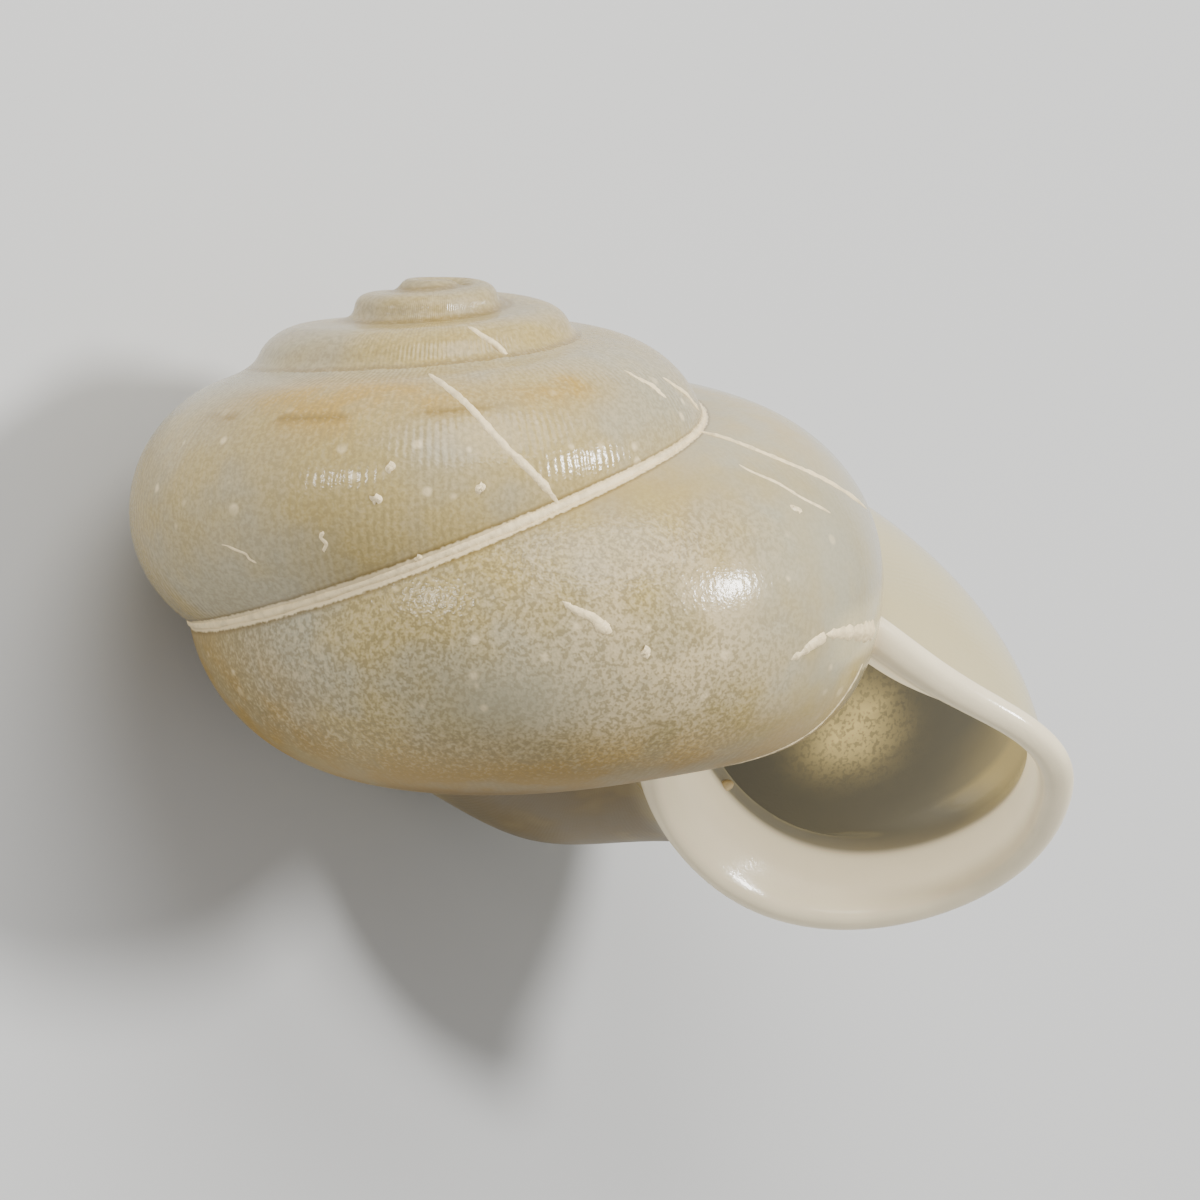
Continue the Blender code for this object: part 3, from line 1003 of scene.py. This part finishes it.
def face_growth(mesh):
    """Mean turn, angle and zone of each face."""
    starts, counts = face_corners(mesh)
    found = []
    for layer, column in (("growth", 0), ("growth", 1), ("zone", 0)):
        values = corner_values(mesh, layer)[:, column]
        found.append(np.add.reduceat(values, starts) / counts)
    return found


def corner_values(mesh, layer):
    return read(mesh.uv_layers[layer].uv, "vector", 2)


def suture_points(mesh):
    """Points where a whorl meets an earlier one, with the younger whorl's turn and angle there."""
    turns, angles, zones = face_growth(mesh)
    edges = read(mesh.loops, "edge_index", kind=int)
    counts = face_corners(mesh)[1]
    face_of = np.repeat(np.arange(len(counts)), counts)
    order = np.argsort(edges, kind='stable')
    sorted_edges = edges[order]
    first = order[:-1][sorted_edges[:-1] == sorted_edges[1:]]
    second = order[1:][sorted_edges[:-1] == sorted_edges[1:]]
    jump = turns[face_of[first]] - turns[face_of[second]]
    young = np.where(jump > 0, first, second)
    whole = (read(mesh.polygons, "area") > LEAST_FACE * MM * MM) & (zones > PILLAR_ZONE / 2)
    whorls = whole[face_of[first]] & whole[face_of[second]]
    chosen = young[(np.abs(jump) > SUTURE_LEAP) & whorls]
    ends = read(mesh.edges, "vertices", 2, int)
    where = positions(mesh)[ends[edges[chosen]]].mean(1)
    faces = face_of[chosen]
    return where, turns[faces], (angles[faces] + 0.5) % 2 - 0.5, zones[faces]


def store(mesh, name, values, domain='POINT'):
    """Keeps one value for each point or corner, for the node trees."""
    made = mesh.attributes.new(name, 'FLOAT', domain)
    made.data.foreach_set("value", values)


def point_tree(points):
    tree = KDTree(len(points))
    for k, point in enumerate(points):
        tree.insert(point, k)
    tree.balance()
    return tree


def nearest_mm(points, targets):
    """Distance in millimetres from each point to the nearest target."""
    tree = point_tree(targets)
    return np.array([tree.find(point)[2] for point in points]) / MM


def upper_suture(mesh, first, last):
    """Line along which the young turns from first to last meet the whorl before, on the spire's side."""
    where, turns, angles, zones = suture_points(mesh)
    steps = np.arange(first, last, THREAD_STEP)
    path = []
    for turn in steps:
        here = (turns >= turn) & (turns < turn + THREAD_STEP)
        here = here & (zones < OUTER_ZONE) & (angles < UPPER_SUTURE_END)
        if here.any():
            outer = here & (angles < angles[here].min() + SUTURE_DEPTH)
            path.append((turn, *where[outer].mean(0)))
    path = np.array(path)
    for _ in range(SUTURE_EVENING):
        path[1:-1] = (path[:-2] + 2 * path[1:-1] + path[2:]) / 4
    return path[:, 0], path[:, 1:]


def soften_sutures(mesh, first, last, reach, rounds):
    """Smooths the shell within reach (mm) of the groove above the young turns from first to last."""
    _, line = upper_suture(mesh, first, last)
    points = positions(mesh)
    share = np.exp(-(nearest_mm(points, line) / reach) ** 2)[:, None]
    share = np.where(share > LEAST_SOFTENING, share, 0)
    ends = read(mesh.edges, "vertices", 2, int)
    count = np.bincount(ends.ravel(), minlength=len(points))[:, None]
    first, second = ends[share[ends].any(1)[:, 0]].T
    for _ in range(rounds):
        total = np.zeros_like(points)
        np.add.at(total, first, points[second])
        np.add.at(total, second, points[first])
        points = points + share * (total / count - points)
    mesh.vertices.foreach_set("co", points.ravel())
    mesh.update()


def above(value, low, soft):
    """0 below the value low, 1 above it, with a soft step that wide."""
    return np.clip((value - low) / soft + 0.5, 0, 1)


def band(value, low, high, soft):
    return above(value, low, soft) * (1 - above(value, high, soft))


def within(value, reach):
    """Share of a reach that the value is in; an empty reach is everywhere."""
    if len(reach) == 3:
        return band(value, *reach)
    return bump(value, *reach) if reach else 1


def thread_width(turn):
    """Share of its full width that the suture's cream thread has at the young turn."""
    return THIN_THREAD + (1 - THIN_THREAD) * bump(turn, BROAD_THREAD_TURN, BROAD_THREAD_SPREAD)


def shell_parts(turn, degrees, zone, suture, crease):
    """Where the parts of the shell are that REGIONS names."""
    outside = 1 - above(zone, OUTSIDE_ZONE, OUTSIDE_ZONE)
    crisp = np.minimum(bump(degrees, *LOWER_LIP) + bump(degrees, *UPPER_LIP), 1)
    inside = above(zone, INSIDE_ZONE - CRISP_ZONE * crisp, INSIDE_SOFTNESS - CRISP_SOFTNESS * crisp)
    parts = {name: outside * band(turn, *reach) for name, reach in PARTS.items()}
    gritty = parts["body"] * (1 - above(turn, *CLEAN_TURNS))
    for turns, around, clean in CLEAN_SPOTS:
        gritty = gritty * (1 - clean * within(turn, turns) * within(degrees, around))
    return parts | {
        "outside": outside,
        "inside": inside,
        "gritty body": gritty,
        "seam": outside * (1 - above(suture, *SEAM_REACH)),
        "crease": outside * (1 - above(crease, *CREASE_REACH)),
    }


def mark_shell(mesh):
    """Stores the regions that the finish tells apart, as a share at each corner."""
    where, _, angles, zones = suture_points(mesh)
    corners = corner_verts(mesh)
    points = positions(mesh)
    outer = zones < OUTER_ZONE
    suture = nearest_mm(points, where[(angles < UPPER_SUTURE_END) & outer])[corners]
    crease = nearest_mm(points, where[(angles > LOWER_SUTURE_START) & outer])[corners]
    turn, half_turns = corner_values(mesh, "growth").T
    degrees = (half_turns * 180 + 180) % 360 - 180
    zone = corner_values(mesh, "zone")[:, 0]
    parts = shell_parts(turn, degrees, zone, suture, crease)

    # The whorl before the thread's start lies under it, and is banded on its lower side alone
    under = turn < THREAD_START
    band_width = thread_width(np.where(under, turn + 1, turn)) * BAND_REACH
    banded = band(turn, THREAD_START - 1, THREAD_END, BAND_ENDS) * parts["outside"]
    shares = {
        "inside": parts["inside"],
        "lip": (1 - parts["outside"]) * (1 - parts["inside"]),
        "slope": band(zone, *SLOPE_ZONE),
        "band": suture / (BAND_RANGE * band_width),
        "banded": banded * np.where(under, 1 - above(degrees, *BAND_LOWER_SIDE), 1),
    }
    for name, part, turns, around, strength in REGIONS:
        share = strength * parts[part] * within(turn, turns) * within(degrees, around)
        shares[name] = shares.get(name, 0) + share
    for name, share in shares.items():
        store(mesh, name, np.clip(share, 0, 1), 'CORNER')


def spot_on(mesh, turn, degrees, zone):
    """Place of the corner nearest to a turn, an angle and a zone, in metres."""
    turns, half_turns = corner_values(mesh, "growth").T
    zones = corner_values(mesh, "zone")[:, 0]
    off = np.abs([turns - turn, half_turns * 180 - degrees, zones - zone])
    nearest = np.argmin(np.array(PLACE_WEIGHTS) @ off)
    return positions(mesh)[corner_verts(mesh)[nearest]]


def on_shell(turn, degrees, sink):
    """Points that far below the outside of the lying shell, in metres; sink is in millimetres."""
    turn, angle = np.broadcast_arrays(np.asarray(turn, float), np.radians(degrees))
    found = np.stack(tube_point(turn, angle, 1 - sink / half_width(turn)), -1) * MM
    place = np.array(resting_place())
    return found @ place[:3, :3].T + place[:3, 3]


class ShellOperator:
    bl_options = {'REGISTER', 'UNDO'}


class SHELL_OT_grow(ShellOperator, bpy.types.Operator):
    """Grows the whole shell as one fused skin, with its lip and its hollow"""
    bl_idname = "shell.grow"
    bl_label = "Grow shell"

    def execute(self, context):
        tree = tube_tree()
        shell = make_pillar()
        for first, last in zip(WHORL_CUTS[:-1], WHORL_CUTS[1:]):
            boolean(shell, 'UNION', tube_stretch(tree, first, last, SIDES, STEPS_PER_TURN, 1.0))
        boolean(shell, 'UNION', make_mouth_whorl(shell.data))
        shell.data.transform(resting_place())
        for first, last, reach, rounds in SOFTENED:
            soften_sutures(shell.data, first, last, reach, rounds)
        grind_flat(shell)
        shell.name = "snail_shell"
        mesh = shell.data
        mark_shell(mesh)
        mesh.materials.clear()
        mesh.materials.append(shell_material())
        hand_over(shell)
        mesh.set_sharp_from_angle(angle=math.radians(SHARP_DEG))
        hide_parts("shell")
        return {'FINISHED'}


class SHELL_OT_threads(ShellOperator, bpy.types.Operator):
    """Lays the cream thread in the sutures of the last whorls"""
    bl_idname = "shell.threads"
    bl_label = "Lay suture threads"

    def execute(self, context):
        turn, path = upper_suture(bpy.data.objects["snail_shell"].data, THREAD_START, THREAD_END)
        thickness = thread_width(turn) * rounded_ends(len(turn), THREAD_TAPER)
        values = {"Radius": sizes().thread_radius * MM, "Sides": THREAD_SIDES,
                  "Unevenness": THREAD_UNEVENNESS, "Grain Size": THREAD_GRAIN * MM,
                  "Material": cream_material("suture cream", roughness=0.5)}
        piece = run_group("suture_thread", chain("suture_thread", path, thickness), thread_tree(), values)
        hand_over(piece)
        return {'FINISHED'}


class SHELL_OT_scars(ShellOperator, bpy.types.Operator):
    """Raises the healed growth lines and scratches"""
    bl_idname = "shell.scars"
    bl_label = "Raise growth scars"

    def execute(self, context):
        radius = sizes().scar_radius
        values = {"Radius": radius * MM, "Sides": SCAR_SIDES, "Unevenness": SCAR_UNEVENNESS,
                  "Grain Size": SCAR_GRAIN * MM, "Material": cream_material("scar cream", roughness=0.35)}
        tree = thread_tree()
        along = np.linspace(0, 1, SCAR_STEPS)
        made = []
        for name, turn, degrees, last_turn, last_degrees, bend, share, last_share in SCARS:
            sway = SCAR_SWAY * np.sin(along * SCAR_WAVES + degrees) * np.sin(along * math.pi)
            turns = turn + (last_turn - turn) * along ** bend + sway
            thickness = (share + (last_share - share) * along) * rounded_ends(len(along), SCAR_TAPER)
            sink = thickness * (radius * SCAR_SINK)
            path = on_shell(turns, degrees + (last_degrees - degrees) * along, sink)
            made.append(run_group(name, chain(name, path, thickness), tree, values))
        hand_over(join_meshes("growth_scars", made))
        return {'FINISHED'}


class SHELL_OT_crumbs(ShellOperator, bpy.types.Operator):
    """Leaves soil in the crease below and a small white nodule in the mouth's corner"""
    bl_idname = "shell.crumbs"
    bl_label = "Leave crumbs"

    def execute(self, context):
        mesh = bpy.data.objects["snail_shell"].data
        where, turns, angles, zones = suture_points(mesh)
        first, last = SOIL_TURNS
        outer = (angles > LOWER_SUTURE_START) & (zones < OUTER_ZONE)
        crease = where[outer & (turns > first) & (turns < last)]
        chance = np.random.default_rng(SOIL_SEED)
        soil = crease[chance.choice(len(crease), min(SOIL_CRUMBS, len(crease)), replace=False)]
        nodule = [spot_on(mesh, *NODULE_PLACE)]
        tree = crumb_tree()
        for name, points, size, material in (
                ("soil_crumbs", soil, sizes().crumb_size, soil_material()),
                ("nodule", nodule, sizes().nodule_size, cream_material("nodule cream", roughness=0.3))):
            base = bpy.data.meshes.new(name)
            base.from_pydata([tuple(point) for point in points], [], [])
            values = {"Size": size * MM, "Least Share": LEAST_CRUMB, "Seed": SOIL_SEED,
                      "Unevenness": CRUMB_UNEVENNESS, "Material": material}
            hand_over(run_group(name, base, tree, values))
        return {'FINISHED'}


# Finishes
def new_material(name):
    """Material, its node tree and its surface node."""
    made = bpy.data.materials.new(name)
    made.use_nodes = True
    return made, Tree(made.node_tree), made.node_tree.nodes['Principled BSDF']


def attribute(tree, name):
    return tree.add("ShaderNodeAttribute", {"attribute_name": name}, output=2)


def object_place(tree):
    return tree.add("ShaderNodeTexCoord", output=3)


def soil_material():
    """Dry brown soil."""
    made, tree, surface = new_material("soil")
    grain = tree.noise(object_place(tree), *SOIL_GRAIN)
    dirt_and_shade = colours().dirt_and_shade
    base = tree.mix(grain.above(0.5, 0.2), rgba(dirt_and_shade, 0.8), rgba(dirt_and_shade, 1.7))
    tree.feed(surface, {"Base Color": base, "Roughness": 0.85})
    return made


def cream_material(name, roughness):
    """Opaque cream of threads and scars, uneven and a little stained."""
    made, tree, surface = new_material(name)
    place = object_place(tree)
    cream = colours().cream
    stain = tree.noise(place, *STAINS).above(0.45, 0.2)
    relief = tree.relief(tree.noise(place, *CREAM_GRAIN), *CREAM_RELIEF)
    tree.feed(surface, {
        "Base Color": tree.mix(stain, rgba(cream, 0.80), rgba(cream)), "Normal": relief,
        "Roughness": roughness, "Specular IOR Level": 0.25})
    return made


def flesh_layers(tree, base, textures):
    """Stains, clouds, grit and blotches of the whorls, laid over the base colour in turn."""
    for region, texture, cut, strength, name, factor in LAYERS:
        layer = attribute(tree, region) * strength
        if texture:
            layer = layer * textures[texture].above(*cut)
        base = tree.mix(layer, base, rgba(getattr(colours(), name), factor))
    return base


def speck_layer(tree, base, place, mottle):
    """Small cream specks of several sizes, each in a cell of its own."""
    cells = tree.add("ShaderNodeTexVoronoi", {}, {"Vector": place, "Scale": SPECK_CELLS})
    cell_colour = tree.add("ShaderNodeSeparateColor", {}, [tree.outputs(cells, "Color")[0]])
    chance, span = tree.outputs(cell_colour, "Red", "Green")
    size = SPECK_SIZE + span * SPECK_SPREAD
    speck = (1 - (cells - size).above(0.0, SPECK_SOFTNESS)) * chance.above(SPECKS_LEFT_OUT, 0.02)
    layer = speck * attribute(tree, "specks") * mottle.above(0.44, 0.1) * SPECK_STRENGTH
    return tree.mix(layer, base, rgba(colours().cream))


def band_layers(tree, base, grit):
    """Cream band with brown ragged edges along the last sutures."""
    away = attribute(tree, "band") * BAND_RANGE + (grit - 0.5) * BAND_RAGGEDNESS
    banded = attribute(tree, "banded")
    for edge, softness, strength, name, factor in BAND_LAYERS:
        layer = (1 - away.above(edge, softness)) * banded * strength
        base = tree.mix(layer, base, rgba(getattr(colours(), name), factor))
    return base


def shell_material():
    """Glossy shell: flesh, stains, grit, specks, growth lines, milky lip and glowing inner wall."""
    made, tree, surface = new_material("grown shell")
    c = colours()
    place = object_place(tree)
    cloud = tree.noise(place, *CLOUDS)
    mottle = tree.noise(place, *MOTTLE)
    grit = tree.noise(place, *GRIT)
    gritty = attribute(tree, "grit")
    inside = attribute(tree, "inside")
    lit_brown_wall = attribute(tree, "lit_brown_wall")
    soil = attribute(tree, "soil")
    lip = attribute(tree, "lip")

    # Flesh with clouds of cooler grey, and what stained it or dried on it
    base = tree.mix((cloud * 0.6 + mottle * 0.4).above(0.5, 0.16), rgba(c.flesh), rgba(c.cool))
    base = flesh_layers(tree, base, {"mottle": mottle, "grit": grit, "pale grit": 1 - grit})
    base = speck_layer(tree, base, place, mottle)
    base = band_layers(tree, base, grit)

    # Lip, inner wall with its golden patch, and soil in the creases and on the underside, partly painted
    # shade
    base = tree.mix(lip, base, tree.mix(mottle.above(0.5, 0.3) * 0.6, rgba(c.lip), rgba(c.lip, 0.84)))
    base = tree.mix(inside, base, rgba(c.inside, 1.15))
    # Light brown colour of the right inner wall near the mouth; its painted light is in the glow below
    base = tree.mix(lit_brown_wall * 0.6, base, rgba(c.flesh))
    patch = attribute(tree, "patch") * (0.4 + mottle.above(0.46, 0.1) * 0.2 + grit.above(0.45, 0.1) * 0.4)
    base = tree.mix(patch, base, rgba(c.flesh, PATCH_COLOUR))
    # Soil, partly painted shade: darker in the crease and on the underside near the lip
    base = tree.mix(soil * (0.6 + mottle.above(0.35, 0.3) * 0.35), base, rgba(c.dirt_and_shade))

    # Painted glow: emission that stands in for light coming through the thin wall
    glow = (0, 0, 0, 1)
    for region, name, factor in GLOWS:
        glow = tree.mix(attribute(tree, region), glow, rgba(getattr(c, name), factor))
    glow = tree.mix(patch, glow, rgba(c.flesh, PATCH_GLOW))

    # Gloss and fine relief
    roughness = SHELL_ROUGHNESS + gritty * GRIT_ROUGHNESS + soil * SOIL_ROUGHNESS
    roughness = roughness + attribute(tree, "shade") * SHADE_ROUGHNESS
    turn = tree.add("ShaderNodeSeparateXYZ", {}, [tree.add("ShaderNodeUVMap", {"uv_map": "growth"})])
    lines = (turn * (math.tau * sizes().growth_lines)).sin()
    height = lines * attribute(tree, "ribs") + grit * (gritty * 0.8 + 0.2)
    relief = tree.relief(height, *SHELL_RELIEF)
    tree.feed(surface, {
        "Base Color": base, "Emission Color": glow, "Emission Strength": 1.0,
        "Roughness": roughness, "Normal": relief, "IOR": 1.45})
    return made


def floor_material():
    """Dull pale floor."""
    made, tree, surface = new_material("pale floor")
    tree.feed(surface, {"Base Color": rgba(colours().floor), "Specular IOR Level": 0.0})
    return made


# Stage
def area_light(name, where, size, power, target):
    light = bpy.data.lights.new(name, 'AREA')
    light.shape = 'DISK'
    light.size = size * MM
    light.energy = power
    made = add_object(name, light)
    made.location = where * MM
    made.rotation_euler = (target - where).to_track_quat('-Z', 'Y').to_euler()


def photo_to_world(across, down, near):
    """Point in the row's frame from a pixel of the photograph and its distance towards the camera."""
    left, top = COIL_TOP_IN_PHOTO
    local = Vector(((across - left) * PHOTO_MM, (top - down) * PHOTO_MM, near))
    return Vector(PLACE) + resting_turn(view_only=True).to_3x3() @ local


class SHELL_OT_stage(ShellOperator, bpy.types.Operator):
    """Lays the pale floor, hangs the lights and sets up the camera"""
    bl_idname = "shell.stage"
    bl_label = "Set stage"

    def execute(self, context):
        half = FLOOR_HALF_WIDTH * MM
        mesh = bpy.data.meshes.new("floor")
        mesh.from_pydata([(-half, -half, 0), (half, -half, 0), (half, half, 0), (-half, half, 0)], [],
                         [(0, 1, 2, 3)])
        floor = add_object("floor", mesh)
        mesh.materials.append(floor_material())
        middle = PHOTO_SIZE / 2
        camera = add_object("camera", bpy.data.cameras.new("camera"))
        camera.data.type = 'ORTHO'
        camera.data.ortho_scale = PHOTO_SIZE * PHOTO_MM * MM
        camera.data.clip_start, camera.data.clip_end = [reach * MM for reach in CAMERA_REACH]
        view = resting_turn(view_only=True)
        place = photo_to_world(middle, middle, CAMERA_AWAY)
        camera.matrix_world = Matrix.Translation(place * MM) @ view
        context.scene.camera = camera
        target = photo_to_world(middle, middle, 0)
        for name, way, away, size, power in LIGHTS:
            where = target + view.to_3x3() @ (Vector(way).normalized() * away)
            area_light(name, where, size, power, target)
        world = bpy.data.worlds.new("studio")
        world.use_nodes = True
        background = world.node_tree.nodes['Background']
        Tree(world.node_tree).feed(background, {"Color": (1, 1, 1, 1), "Strength": ROOM_LIGHT})
        context.scene.world = world
        return {'FINISHED'}


class SHELL_PT_panel(bpy.types.Panel):
    bl_idname = "SHELL_PT_panel"
    bl_label = "Land snail shell"
    bl_space_type = 'VIEW_3D'
    bl_region_type = 'UI'
    bl_category = "Shell"

    def draw(self, context):
        column = self.layout.column()
        for group in (context.scene.shell_sizes, context.scene.shell_colours):
            for name in group.__annotations__:
                column.prop(group, name)
        for operator in OPERATORS:
            column.operator(operator.bl_idname)


GROUPS = (ShellSizes, ShellColours)
OPERATORS = (SHELL_OT_grow, SHELL_OT_threads, SHELL_OT_scars, SHELL_OT_crumbs, SHELL_OT_stage)
CLASSES = GROUPS + OPERATORS + (SHELL_PT_panel,)


def register():
    for made in CLASSES:
        bpy.utils.register_class(made)
    bpy.types.Scene.shell_sizes = bpy.props.PointerProperty(type=ShellSizes)
    bpy.types.Scene.shell_colours = bpy.props.PointerProperty(type=ShellColours)


def unregister():
    del bpy.types.Scene.shell_colours
    del bpy.types.Scene.shell_sizes
    for made in reversed(CLASSES):
        bpy.utils.unregister_class(made)


def main():
    register()
    bpy.ops.shell.grow()
    bpy.ops.shell.threads()
    bpy.ops.shell.scars()
    bpy.ops.shell.crumbs()
    bpy.ops.shell.stage()


if __name__ == "__main__":
    main()
